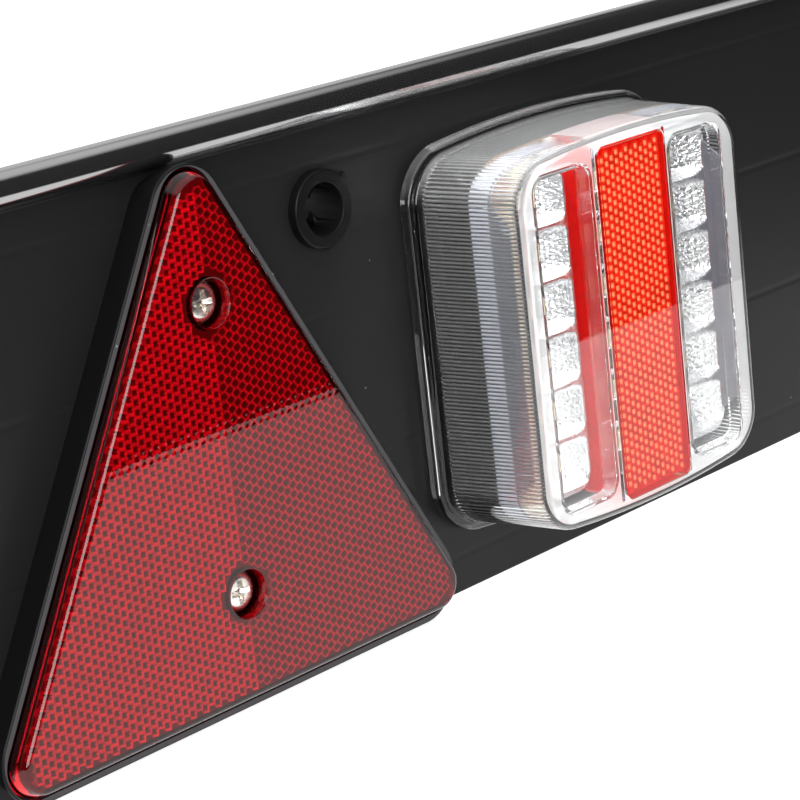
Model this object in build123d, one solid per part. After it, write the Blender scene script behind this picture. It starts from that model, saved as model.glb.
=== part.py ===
# A trailer lighting board: a long black plank with a triangle reflector, a bushed fixing hole
# and a square combination lamp at each end. Millimetres, +Z up, the lights face -Y.
# The origin is midway between the two fixing holes, on the plank's front face.
import os
from math import sqrt

from build123d import *

# Plank: two skins joined by level webs, with a hollow round bead along the top
BOARD_LENGTH = 1220.0
BOARD_DEPTH = 12.0
FLAT_HEIGHT = 130.9
SKIN = 2.0
WEB = 1.6
WEB_COUNT = 4
WEB_MARGIN = 9.7
TOP_WALL = 3.2
BEAD_RADIUS = 4.55
BEAD_BORE_RADIUS = 2.4
BEAD_CREASE = 0.8
BACK_CORNER = 2.0
FOOT_CORNER = 0.6

# Triangle reflector: a red lens in a black tray that fits between the plank's lower edge and its bead
LENS_CORNER = 6.0
LENS_RISE = 13.9
LENS_PLATE = 3.0
LENS_WALL = 2.2
LENS_EDGE = 1.2
LENS_FOOT = 5.3
LENS_LIP = 1.9
LENS_LIP_DEPTH = 2.3
LENS_LIP_GAP = 0.2
FRAME_FLOOR = 2.0
FRAME_RISE = 9.8
FRAME_BACK_WIDTH = 2.25
FRAME_RIM_WIDTH = 4.25
FRAME_BACK_CORNER = 10.0
FRAME_RIM_CORNER = 11.3
FRAME_CLEARANCE = 0.4
BEAD_GAP = 1.2
CUP_RADIUS = 6.85
CUP_DEPTH = 5.9
CUP_WALL = 1.5
LOWER_SCREW = 25.0
APEX_TO_SCREW = 34.9
SCREW_HEAD_RADIUS = 5.1
SCREW_HEAD_RISE = 3.0
SCREW_HEAD_ROUND = 2.1
SCREW_RADIUS = 2.4
SCREW_GRIP = 7.0
SCREW_CLEARANCE = 0.3
THREAD_CLEARANCE = 0.05
RECESS_SPAN = 5.6
RECESS_WIDTH = 1.3
RECESS_DEPTH = 1.8

# Fixing hole bush: snaps into the plank from the front
FIXING_DROP = 20.2
BUSH_BORE_RADIUS = 6.5
BUSH_WALL = 1.5
BUSH_FLANGE_RADIUS = 9.8
BUSH_FLANGE_RISE = 2.7
BUSH_EDGE = 0.7
BUSH_CLEARANCE = 0.1
BUSH_LIP = 0.7
BUSH_LIP_LENGTH = 2.4
BUSH_SLOT = 2.2
BUSH_SLOT_LENGTH = 9.0
BUSH_SLOT_COUNT = 4
BUSH_LAMP_GAP = 17.5
BUSH_TAG_REACH = 0.8
BUSH_TAG_WIDTH = 1.6
BUSH_TAG_RISE = 1.4
BUSH_TAG_ANGLE = 26.0

# Lamp: clear cover on a black base, with a red reflex box between two banks of LED bowls
LAMP_WIDTH = 102.2
LAMP_FOOT = 14.3
LAMP_HEAD = 10.2
LAMP_CORNER = 14.0
LAMP_BOW_RADIUS = 330.0
LAMP_RISE = 35.5
END_MARGIN = 90.3
TRIANGLE_GAP = 3.4
GASKET = 1.5
GASKET_WIDTH = 9.0
GASKET_INSET = 2.0
GASKET_INNER_CORNER = 3.0
COVER_FLANGE = 3.0
COVER_STEP = 2.5
COVER_WALL = 2.0
COVER_SIDE_DRAFT = 3.6
COVER_END_DRAFT = 1.0
COVER_EDGE = 2.6
FLANGE_EDGE = 0.8
SKIRT = 1.5
SKIRT_CLEARANCE = 0.15
BASE_PLATE = 1.5
BASE_WALL = 2.0
CIRCUIT_BOARD = 1.6
FRONT_ROOM = 8.9
TRAY_DEPTH = 7.0
TRAY_FLOOR = 1.8
TRAY_MARGIN = 5.0
TRAY_CORNER = 5.5
BOWL_COUNT = 6
BOWL_WIDTH = 21.0
BOWL_RIM = 0.8
BOWL_SEAT = 6.4
WINDOW_RIB = 1.2
WINDOW_RIB_DEPTH = 4.0
WINDOW_CORNER = 5.0
WINDOW_MARGIN = 5.7
INSERT_WIDTH = 27.2
INSERT_MARGIN = 3.3
INSERT_CORNER = 2.5
INSERT_WALL = 2.0
INSERT_CLEARANCE = 0.1
COLLAR_WALL = 1.6
COLLAR_DEPTH = 6.0
LED_SIZE = 4.6
LED_RISE = 1.4
LED_DOME_RADIUS = 1.8
LED_DOME_RISE = 0.5
BOLT_RADIUS = 2.5
BOLT_HEAD_RADIUS = 5.0
BOLT_HEAD_RISE = 2.5
BOLT_EDGE = 18.6
BOLT_TAIL = 3.0
BOLT_CLEARANCE = 0.3
WASHER_RADIUS = 5.0
WASHER = 1.0
NUT_FLATS = 8.0
NUT_RISE = 4.0
CABLE_RADIUS = 3.0
GROMMET_WALL = 2.5
GROMMET_FLANGE = 2.5
GROMMET_LIP = 1.6

# Heights above the plank's lower edge; the lens's height and side run to its sharp corners
LENS_HEIGHT = FLAT_HEIGHT - LENS_FOOT - BEAD_GAP - 2 * FRAME_BACK_WIDTH + FRAME_BACK_CORNER
LENS_SIDE = LENS_HEIGHT * 2 / sqrt(3)
BEAD_LEVEL = FLAT_HEIGHT + BEAD_RADIUS
FIXING_LEVEL = FLAT_HEIGHT - FIXING_DROP
LAMP_HEIGHT = FLAT_HEIGHT - LAMP_FOOT - LAMP_HEAD
LAMP_LEVEL = LAMP_FOOT + LAMP_HEIGHT / 2

# Places along the plank
FRAME_HALF_WIDTH = LENS_SIDE / 2 + FRAME_RIM_WIDTH * sqrt(3) - FRAME_RIM_CORNER * (sqrt(3) - 1)
LAMP_X = BOARD_LENGTH / 2 - END_MARGIN - LAMP_WIDTH / 2
LAMP_INNER_EDGE = LAMP_X - LAMP_WIDTH / 2
BUSH_X = LAMP_INNER_EDGE - BUSH_LAMP_GAP - BUSH_FLANGE_RADIUS
TRIANGLE_X = LAMP_INNER_EDGE - TRIANGLE_GAP - FRAME_HALF_WIDTH

# Rises above the plank's face
CUP_FLOOR = LENS_RISE - CUP_DEPTH
LIP_FOOT = FRAME_RISE - LENS_LIP_DEPTH
FLANGE_TOP = GASKET + COVER_FLANGE
LEDGE = GASKET + BASE_PLATE
COVER_CEILING = LAMP_RISE - COVER_WALL
TRAY_TOP = COVER_CEILING - FRONT_ROOM
CIRCUIT_TOP = TRAY_TOP - TRAY_DEPTH
BASE_TOP = CIRCUIT_TOP - CIRCUIT_BOARD

# Sizes inside the lamp, and outer radii of the round fittings
COVER_FRONT_HEIGHT = LAMP_HEIGHT - 2 * (COVER_STEP + COVER_END_DRAFT)
INSERT_HEIGHT = COVER_FRONT_HEIGHT - 2 * INSERT_MARGIN
WINDOW_HEIGHT = COVER_FRONT_HEIGHT - 2 * WINDOW_MARGIN
COLLAR_WIDTH = INSERT_WIDTH + 2 * COLLAR_WALL
BANK_HEIGHT = COVER_FRONT_HEIGHT - 2 * (COVER_WALL + TRAY_MARGIN)
BANK_WIDTH = BOWL_WIDTH + 2 * BOWL_RIM
BANK_X = COLLAR_WIDTH / 2 + WINDOW_RIB + BOWL_WIDTH / 2
BOWL_PITCH = (BANK_HEIGHT - 2 * BOWL_RIM) / BOWL_COUNT
BUSH_RADIUS = BUSH_BORE_RADIUS + BUSH_WALL
GROMMET_RADIUS = CABLE_RADIUS + GROMMET_WALL


def on_face(x, level):
    """A place on the plank's front face: local x along the plank, y up and z outwards."""
    return Plane((x, 0, level - FIXING_LEVEL), x_dir=(1, 0, 0), z_dir=(0, -1, 0)).location


def column(radius, low, high, x=0.0, y=0.0):
    """A round column that stands from one rise to another."""
    base_up = (Align.CENTER, Align.CENTER, Align.MIN)
    return Pos(x, y, low) * Cylinder(radius, high - low, align=base_up)


def slab(outline, low, high):
    """A flat outline carried from one rise to another."""
    return extrude(Pos(0, 0, low) * outline, high - low)


def triangle(margin, corner):
    """The lens's triangle grown by a margin on every side, with rounded corners."""
    half = LENS_SIDE / 2 + margin * sqrt(3)
    tip = LENS_SIDE * sqrt(3) / 2 + 2 * margin
    outline = make_face(Polyline((-half, -margin), (half, -margin), (0, tip), close=True))
    return fillet(outline.vertices(), corner)


def bowed(width, height, inset):
    """The lamp's rounded rectangle at an inset from its edge: the head and foot bulge on a large
    radius, and the height is taken at mid-width."""
    half = width / 2
    top = height / 2
    radius = LAMP_BOW_RADIUS - inset
    shoulder = top - radius + sqrt(radius**2 - half**2)
    head = ThreePointArc((half, shoulder), (0, top), (-half, shoulder))
    foot = ThreePointArc((-half, -shoulder), (0, -top), (half, -shoulder))
    left = Line((-half, shoulder), (-half, -shoulder))
    right = Line((half, -shoulder), (half, shoulder))
    outline = make_face(Curve() + [head, left, foot, right])
    return fillet(outline.vertices(), LAMP_CORNER - inset)


def drafted(margin, low, high):
    """The lamp cover's drafted block between two rises, shrunk by a margin on every side."""
    sections = []
    for rise in (low, high):
        lean = (rise - FLANGE_TOP) / (LAMP_RISE - FLANGE_TOP)
        width = LAMP_WIDTH - 2 * (COVER_STEP + margin + COVER_SIDE_DRAFT * lean)
        height = LAMP_HEIGHT - 2 * (COVER_STEP + margin + COVER_END_DRAFT * lean)
        sections.append(Pos(0, 0, rise) * bowed(width, height, COVER_STEP + margin))
    return loft(sections, ruled=True)


def lamp_outline(inset):
    """The lamp's outline at the plank, drawn in by an inset."""
    return bowed(LAMP_WIDTH - 2 * inset, LAMP_HEIGHT - 2 * inset, inset)


def tray_outline(inset):
    """The reflector tray's outline, which the circuit board and the base's walls share, drawn in by an
    inset."""
    width = 2 * BANK_X + BANK_WIDTH - 2 * inset
    return RectangleRounded(width, BANK_HEIGHT - 2 * inset, TRAY_CORNER - inset)


def screw_levels():
    """The triangle's two screws, above the lens's base line."""
    return [LOWER_SCREW, LENS_HEIGHT - APEX_TO_SCREW]


def bolt_levels():
    """The lamp's two bolts, below and above its middle."""
    reach = LAMP_HEIGHT / 2 - BOLT_EDGE
    return [-reach, reach]


def bowl_places():
    """Centres of the LED bowls: a column on each side of the red reflex box."""
    first = -BOWL_PITCH * (BOWL_COUNT - 1) / 2
    return [(side * BANK_X, first + BOWL_PITCH * count) for side in (-1, 1) for count in range(BOWL_COUNT)]


def make_board():
    """The plank: its section is drawn looking along it and carried the whole length."""
    foot = -FIXING_LEVEL
    bead = BEAD_LEVEL - FIXING_LEVEL
    with_bead = Polyline((0, bead - BEAD_RADIUS), (0, foot), (BOARD_DEPTH, foot), (BOARD_DEPTH, bead),
                         (BEAD_RADIUS, bead))
    round_top = ThreePointArc((BEAD_RADIUS, bead), (-BEAD_RADIUS * sqrt(0.5), bead + BEAD_RADIUS * sqrt(0.5)),
                              (0, bead - BEAD_RADIUS))
    section = make_face(Curve() + [with_bead, round_top])

    def at(y, z):
        return section.vertices().sort_by_distance((y, z, 0))[0]

    section = fillet(at(0, bead - BEAD_RADIUS), BEAD_CREASE)
    section = fillet(at(BOARD_DEPTH, bead), BACK_CORNER)
    section = fillet([at(0, foot), at(BOARD_DEPTH, foot)], FOOT_CORNER)
    section -= Pos(0, bead) * Circle(BEAD_BORE_RADIUS)

    pitch = (FLAT_HEIGHT - 2 * WEB_MARGIN) / (WEB_COUNT - 1)
    webs = [foot + WEB_MARGIN + pitch * count for count in range(WEB_COUNT)]
    floors = [foot + SKIN] + [web + WEB / 2 for web in webs]
    ceilings = [web - WEB / 2 for web in webs] + [bead - TOP_WALL]
    for floor, ceiling in zip(floors, ceilings):
        chamber = Rectangle(BOARD_DEPTH - 2 * SKIN, ceiling - floor)
        section -= Pos(BOARD_DEPTH / 2, (floor + ceiling) / 2) * chamber
    board = extrude(Plane.YZ * section, BOARD_LENGTH / 2, both=True)

    back = -2 * BOARD_DEPTH
    for side in (-1, 1):
        board -= on_face(side * BUSH_X, FIXING_LEVEL) * column(BUSH_RADIUS + BUSH_CLEARANCE, back, BOARD_DEPTH)
        for level in screw_levels():
            pilot = column(SCREW_RADIUS + THREAD_CLEARANCE, -BOARD_DEPTH / 2, BOARD_DEPTH)
            board -= on_face(side * TRIANGLE_X, LENS_FOOT + level) * pilot
        lamp = on_face(side * LAMP_X, LAMP_LEVEL)
        for level in bolt_levels():
            board -= lamp * column(BOLT_RADIUS + BOLT_CLEARANCE, back, BOARD_DEPTH, 0, level)
        board -= lamp * column(GROMMET_RADIUS, back, BOARD_DEPTH)
    return board


def make_triangle_frame():
    """Black tray: a floor on the plank, walls that flare to a flat rim with a rebate for the lens's lip,
    and two screw bosses."""
    back = triangle(FRAME_BACK_WIDTH, FRAME_BACK_CORNER)
    rim = Pos(0, 0, FRAME_RISE) * triangle(FRAME_RIM_WIDTH, FRAME_RIM_CORNER)
    frame = loft([back, rim], ruled=True)
    well = triangle(FRAME_CLEARANCE, LENS_CORNER + FRAME_CLEARANCE)
    rebate = triangle(LENS_LIP + FRAME_CLEARANCE, LENS_CORNER + LENS_LIP + FRAME_CLEARANCE)
    frame -= slab(well, FRAME_FLOOR, LENS_RISE)
    frame -= slab(rebate, LIP_FOOT - LENS_LIP_GAP, LENS_RISE)
    for level in screw_levels():
        frame += column(CUP_RADIUS + CUP_WALL, FRAME_FLOOR, CUP_FLOOR - CUP_WALL, 0, level)
        frame -= column(SCREW_RADIUS + SCREW_CLEARANCE, 0, LENS_RISE, 0, level)
    return frame


def make_triangle_lens():
    """Red lens: a thick plate whose sides slope out to a lip at the tray's rim, a skirt that stands on
    the tray's floor and two screw cups."""
    front = triangle(0, LENS_CORNER)
    lip = triangle(LENS_LIP, LENS_CORNER + LENS_LIP)
    block = loft([Pos(0, 0, FRAME_RISE) * lip, Pos(0, 0, LENS_RISE) * front], ruled=True)
    lens = fillet(block.edges().group_by(Axis.Z)[-1], LENS_EDGE)
    lens += slab(lip, LIP_FOOT, FRAME_RISE) + slab(front, FRAME_FLOOR, LIP_FOOT)
    hollow = slab(triangle(-LENS_WALL, LENS_CORNER - LENS_WALL), FRAME_FLOOR, LENS_RISE - LENS_PLATE)
    for level in screw_levels():
        hollow -= column(CUP_RADIUS + CUP_WALL, CUP_FLOOR - CUP_WALL, LENS_RISE, 0, level)
    lens -= hollow
    for level in screw_levels():
        lens -= column(CUP_RADIUS, CUP_FLOOR, LENS_RISE, 0, level)
        lens -= column(SCREW_RADIUS + SCREW_CLEARANCE, FRAME_FLOOR, LENS_RISE, 0, level)
    return lens


def make_triangle_screw():
    """Pan-head screw with a cross recess; the shank bites into the plank's front skin."""
    head_top = CUP_FLOOR + SCREW_HEAD_RISE
    head = column(SCREW_HEAD_RADIUS, CUP_FLOOR, head_top)
    head = fillet(head.edges().group_by(Axis.Z)[-1], SCREW_HEAD_ROUND)
    screw = head + column(SCREW_RADIUS, -SCREW_GRIP, CUP_FLOOR)
    top_down = (Align.CENTER, Align.CENTER, Align.MAX)
    for span, width in ((RECESS_SPAN, RECESS_WIDTH), (RECESS_WIDTH, RECESS_SPAN)):
        screw -= Pos(0, 0, head_top) * Box(span, width, RECESS_DEPTH, align=top_down)
    return screw


def make_bush():
    """Snap-in bush: a rounded flange, a round bore, and slotted fingers that hook behind the plank."""
    hook = -BOARD_DEPTH - BUSH_CLEARANCE
    tail = hook - BUSH_LIP_LENGTH
    flange = fillet(column(BUSH_FLANGE_RADIUS, 0, BUSH_FLANGE_RISE).edges().group_by(Axis.Z)[-1], BUSH_EDGE)
    lip_up = (Align.CENTER, Align.CENTER, Align.MIN)
    lip = Pos(0, 0, tail) * Cone(BUSH_RADIUS, BUSH_RADIUS + BUSH_LIP, BUSH_LIP_LENGTH, align=lip_up)
    bush = flange + column(BUSH_RADIUS, tail, 0) + lip
    outer_end = (Align.MAX, Align.CENTER, Align.CENTER)
    tag = Box(BUSH_WALL + BUSH_TAG_REACH, BUSH_TAG_WIDTH, BUSH_TAG_RISE, align=outer_end)
    tag_place = Pos(BUSH_FLANGE_RADIUS + BUSH_TAG_REACH, 0, BUSH_FLANGE_RISE / 2)
    bush += Rot(0, 0, BUSH_TAG_ANGLE) * tag_place * tag
    bush -= column(BUSH_BORE_RADIUS, tail, BUSH_FLANGE_RISE)
    slot_up = (Align.CENTER, Align.MIN, Align.MIN)
    for count in range(BUSH_SLOT_COUNT):
        slot = Box(BUSH_SLOT, BUSH_FLANGE_RADIUS + BUSH_LIP, BUSH_SLOT_LENGTH, align=slot_up)
        bush -= Rot(0, 0, 360 / BUSH_SLOT_COUNT * (count + 0.5)) * Pos(0, 0, tail) * slot
    return bush


def make_gasket():
    """Rubber seal between the lamp's base and the plank."""
    inset = GASKET_INSET + GASKET_WIDTH
    inside = RectangleRounded(LAMP_WIDTH - 2 * inset, LAMP_HEIGHT - 2 * inset, GASKET_INNER_CORNER)
    return slab(lamp_outline(GASKET_INSET) - inside, 0, GASKET)


def make_lamp_base():
    """Black tray: a plate inside the cover's skirt, walls that carry the circuit board and a hub round
    the cable."""
    base = slab(lamp_outline(SKIRT + SKIRT_CLEARANCE), GASKET, LEDGE)
    base += slab(tray_outline(0) - tray_outline(BASE_WALL), LEDGE, BASE_TOP)
    base += column(GROMMET_RADIUS + BASE_WALL, LEDGE, BASE_TOP)
    base -= column(GROMMET_RADIUS, 0, BASE_TOP)
    for level in bolt_levels():
        base -= column(BOLT_RADIUS + BOLT_CLEARANCE, 0, LEDGE, 0, level)
    return base


def make_circuit_board():
    """Flat board on the base's walls, under the whole of the reflector tray."""
    return slab(tray_outline(0), BASE_TOP, CIRCUIT_TOP)


def make_reflector_tray():
    """Metallised tray: two banks of tapered bowls with an open seat for each LED, joined by a floor."""
    tray = slab(tray_outline(0), CIRCUIT_TOP, CIRCUIT_TOP + TRAY_FLOOR)
    bank = RectangleRounded(BANK_WIDTH, BANK_HEIGHT, TRAY_CORNER)
    well = RectangleRounded(BOWL_WIDTH, BANK_HEIGHT - 2 * BOWL_RIM, TRAY_CORNER - BOWL_RIM)
    for side in (-1, 1):
        tray += slab(Pos(side * BANK_X, 0) * bank, CIRCUIT_TOP, TRAY_TOP)
    for x, y in bowl_places():
        mouth = Pos(x, y, TRAY_TOP) * Rectangle(BOWL_WIDTH, BOWL_PITCH - BOWL_RIM)
        seat = Pos(x, y, CIRCUIT_TOP) * Rectangle(BOWL_SEAT, BOWL_SEAT)
        tray -= loft([seat, mouth], ruled=True) & slab(Pos(x, 0) * well, CIRCUIT_TOP, TRAY_TOP)
    return tray


def make_leds():
    """One surface-mounted LED with a low dome in the seat of each bowl."""
    leds = []
    chip_up = (Align.CENTER, Align.CENTER, Align.MIN)
    for x, y in bowl_places():
        chip = Pos(x, y, CIRCUIT_TOP) * Box(LED_SIZE, LED_SIZE, LED_RISE, align=chip_up)
        dome_foot = CIRCUIT_TOP + LED_RISE
        leds.append(chip + column(LED_DOME_RADIUS, dome_foot, dome_foot + LED_DOME_RISE, x, y))
    return leds


def make_cover():
    """Clear cover: a flange with a skirt round the base, drafted walls, a window for the red box
    with a collar behind it, and a rib round each bank of bowls."""
    flange = slab(lamp_outline(0), GASKET, FLANGE_TOP)
    flange = fillet(flange.edges().group_by(Axis.Z)[-1], FLANGE_EDGE)
    block = drafted(0, FLANGE_TOP, LAMP_RISE)
    cover = flange + fillet(block.edges().group_by(Axis.Z)[-1], COVER_EDGE)
    cover -= slab(lamp_outline(SKIRT), GASKET, LEDGE)
    cover -= drafted(COVER_WALL, LEDGE, COVER_CEILING)

    collar_foot = COVER_CEILING - COLLAR_DEPTH
    cover += slab(Rectangle(COLLAR_WIDTH, INSERT_HEIGHT), collar_foot, COVER_CEILING)
    for side in (-1, 1):
        outer = RectangleRounded(BOWL_WIDTH + 2 * WINDOW_RIB, WINDOW_HEIGHT, WINDOW_CORNER)
        inner = RectangleRounded(BOWL_WIDTH, WINDOW_HEIGHT - 2 * WINDOW_RIB, WINDOW_CORNER - WINDOW_RIB)
        rib = Pos(side * BANK_X, 0) * (outer - inner)
        cover += slab(rib, COVER_CEILING - WINDOW_RIB_DEPTH, COVER_CEILING)
    opening = RectangleRounded(INSERT_WIDTH + 2 * INSERT_CLEARANCE, INSERT_HEIGHT + 2 * INSERT_CLEARANCE,
                               INSERT_CORNER)
    return cover - slab(opening, collar_foot, LAMP_RISE)


def make_reflex_insert():
    """Red box, open behind, that stands on the tray's floor and is flush with the cover's front."""
    outer = RectangleRounded(INSERT_WIDTH, INSERT_HEIGHT, INSERT_CORNER)
    inner = Rectangle(INSERT_WIDTH - 2 * INSERT_WALL, INSERT_HEIGHT - 2 * INSERT_WALL)
    box = slab(outer, CIRCUIT_TOP + TRAY_FLOOR, LAMP_RISE)
    return box - slab(inner, CIRCUIT_TOP + TRAY_FLOOR, LAMP_RISE - INSERT_WALL)


def make_bolt():
    """Round-headed bolt from inside the base out through the plank."""
    tail = -BOARD_DEPTH - WASHER - NUT_RISE - BOLT_TAIL
    return column(BOLT_HEAD_RADIUS, LEDGE, LEDGE + BOLT_HEAD_RISE) + column(BOLT_RADIUS, tail, LEDGE)


def make_washer():
    """Plain washer on the plank's back."""
    ring = Circle(WASHER_RADIUS) - Circle(BOLT_RADIUS + BOLT_CLEARANCE)
    return slab(ring, -BOARD_DEPTH - WASHER, -BOARD_DEPTH)


def make_nut():
    """Hexagon nut behind the washer."""
    low = -BOARD_DEPTH - WASHER - NUT_RISE
    outline = RegularPolygon(NUT_FLATS / 2, 6, major_radius=False) - Circle(BOLT_RADIUS + THREAD_CLEARANCE)
    return slab(outline, low, low + NUT_RISE)


def make_grommet():
    """Rubber grommet for the cable, with a lip on each side of the plank's back skin."""
    back = -BOARD_DEPTH
    grommet = column(GROMMET_RADIUS - THREAD_CLEARANCE, back, back + SKIN)
    grommet += column(GROMMET_RADIUS + GROMMET_FLANGE, back - GROMMET_LIP, back)
    grommet += column(GROMMET_RADIUS + GROMMET_LIP, back + SKIN, back + SKIN + GROMMET_LIP)
    return grommet - column(CABLE_RADIUS, back - GROMMET_LIP, back + SKIN + GROMMET_LIP)


def save(name, solids):
    """Write one node."""
    export_step(Compound(children=solids, label=name) if len(solids) > 1 else solids[0], f"parts/{name}.step")


os.makedirs("parts", exist_ok=True)
save("board", [make_board()])
triangle_pieces = {
    "triangle_frame": [make_triangle_frame()],
    "triangle_lens": [make_triangle_lens()],
    "triangle_screws": [Pos(0, level) * make_triangle_screw() for level in screw_levels()],
}
bush_pieces = {"fixing_bush": [make_bush()]}
lamp_pieces = {
    "lamp_gasket": [make_gasket()],
    "lamp_base": [make_lamp_base()],
    "lamp_circuit_board": [make_circuit_board()],
    "lamp_leds": make_leds(),
    "lamp_reflector_tray": [make_reflector_tray()],
    "lamp_cover": [make_cover()],
    "lamp_reflex_insert": [make_reflex_insert()],
    "lamp_bolts": [Pos(0, level) * make_bolt() for level in bolt_levels()],
    "lamp_washers": [Pos(0, level) * make_washer() for level in bolt_levels()],
    "lamp_nuts": [Pos(0, level) * make_nut() for level in bolt_levels()],
    "cable_grommet": [make_grommet()],
}
groups = [
    (TRIANGLE_X, LENS_FOOT, triangle_pieces),
    (BUSH_X, FIXING_LEVEL, bush_pieces),
    (LAMP_X, LAMP_LEVEL, lamp_pieces),
]
for side, side_name in ((-1, "left"), (1, "right")):
    for x, level, pieces in groups:
        place = on_face(side * x, level)
        for name, solids in pieces.items():
            save(f"{side_name}_{name}", [place * solid for solid in solids])
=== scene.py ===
"""The looks of a trailer lighting board: a black plank with a red triangle reflector, a bushed fixing
hole and a clear square lamp at each end. The CAD frame is in metres; sizes here are in millimetres."""

import bmesh
import bpy
import numpy as np
from mathutils import Matrix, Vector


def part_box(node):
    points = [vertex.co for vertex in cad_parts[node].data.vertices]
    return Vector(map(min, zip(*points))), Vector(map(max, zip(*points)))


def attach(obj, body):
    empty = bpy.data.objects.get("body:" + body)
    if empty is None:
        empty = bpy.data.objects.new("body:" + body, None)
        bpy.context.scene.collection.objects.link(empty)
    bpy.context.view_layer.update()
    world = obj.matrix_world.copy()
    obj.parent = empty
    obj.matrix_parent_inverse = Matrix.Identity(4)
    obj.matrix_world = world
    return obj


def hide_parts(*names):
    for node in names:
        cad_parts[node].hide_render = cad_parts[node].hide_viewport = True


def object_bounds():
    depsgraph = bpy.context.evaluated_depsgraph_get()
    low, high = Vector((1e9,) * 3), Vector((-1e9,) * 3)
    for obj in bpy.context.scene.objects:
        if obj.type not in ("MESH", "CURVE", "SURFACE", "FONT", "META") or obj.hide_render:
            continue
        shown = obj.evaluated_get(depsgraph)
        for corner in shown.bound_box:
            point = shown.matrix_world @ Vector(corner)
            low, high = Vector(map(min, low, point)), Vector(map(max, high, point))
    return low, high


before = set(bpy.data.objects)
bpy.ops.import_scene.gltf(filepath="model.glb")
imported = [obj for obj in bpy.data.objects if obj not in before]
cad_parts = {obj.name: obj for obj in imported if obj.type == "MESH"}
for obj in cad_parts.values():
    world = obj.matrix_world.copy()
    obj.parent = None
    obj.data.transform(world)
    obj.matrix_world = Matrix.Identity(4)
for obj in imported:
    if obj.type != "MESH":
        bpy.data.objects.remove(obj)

MM = 0.001
cad_low, cad_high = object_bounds()
scene = bpy.context.scene
scene.view_settings.view_transform = "Standard"


# Camera: stands in front of the plank's middle, looks along it at the right-hand end and is turned a
# little about its own axis, so that the plank's edges climb to the right.
CAMERA_PLACE = (-59.3, -462.2, 122.4)
CAMERA_YAW, CAMERA_PITCH, CAMERA_ROLL = np.radians((45.52, 14.98, 6.44))
FOCAL_LENGTH = 121.43

ahead = np.array((np.sin(CAMERA_YAW) * np.cos(CAMERA_PITCH), np.cos(CAMERA_YAW) * np.cos(CAMERA_PITCH),
                  -np.sin(CAMERA_PITCH)))
level = np.array((np.cos(CAMERA_YAW), -np.sin(CAMERA_YAW), 0))
right = np.cos(CAMERA_ROLL) * level + np.sin(CAMERA_ROLL) * np.cross(ahead, level)
turned = np.stack((right, np.cross(right, ahead), -ahead), 1)
camera = bpy.data.objects.new("camera", bpy.data.cameras.new("camera"))
camera.data.lens = FOCAL_LENGTH
camera.data.clip_start = 0.01
camera.matrix_world = Matrix.Translation(np.array(CAMERA_PLACE) * MM) @ Matrix(turned).to_4x4()
scene.collection.objects.link(camera)
scene.camera = camera


# Studio: the plank stands on white paper that ends a hand's width in front of it. Beyond the paper the
# room is dark; a broad soft lamp hangs above and a large one stands in front at the left. Sizes in metres.
PAPER_REACH = 0.208
PAPER_END = 0.72
PAPER_FADE = 0.2
PAPER_COLOUR = 0.8
PAPER_WHITE = 0.85
PAPER_GLOW = 1.35
FLOOR_HALF = 4.0
ROOM_SHADE = 0.02
FILL_LEVEL = 0.25
BACKDROP_SINE = 0.35
BACKDROP_BLUR = 0.1
CEILING_SINE = 0.7
CEILING_BLUR = 0.06


def add(tree, kind, inputs=None, **settings):
    """A shader node with its settings; each input is set to a value or linked to another node's output."""
    made = tree.nodes.new("ShaderNode" + kind)
    for name, value in settings.items():
        setattr(made, name, value)
    for name, value in (inputs or {}).items():
        if isinstance(value, bpy.types.NodeSocket):
            tree.links.new(value, made.inputs[name])
        else:
            made.inputs[name].default_value = value
    return made


def maths(tree, operation, *values):
    """The output of one Math node."""
    return add(tree, "Math", dict(enumerate(values)), operation=operation).outputs[0]


def blend(tree, factor, first, second):
    """The colour output of a Mix node between two colours."""
    factor_socket, first_socket, second_socket, result_socket = 0, 6, 7, 2
    inputs = {factor_socket: factor, first_socket: first, second_socket: second}
    return add(tree, "Mix", inputs, data_type="RGBA").outputs[result_socket]


def span(tree, value, low, high, start=0.3, end=0.7):
    """A value's range from start to end spread over the range from low to high."""
    return add(tree, "MapRange", {"Value": value, "From Min": start, "From Max": end,
                                  "To Min": low, "To Max": high}).outputs[0]


def grey(level):
    """A grey of a level, as a colour."""
    return level, level, level, 1


def link_object(name, mesh):
    """A new object at the origin with this mesh."""
    made = bpy.data.objects.new(name, mesh)
    scene.collection.objects.link(made)
    return made


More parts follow.
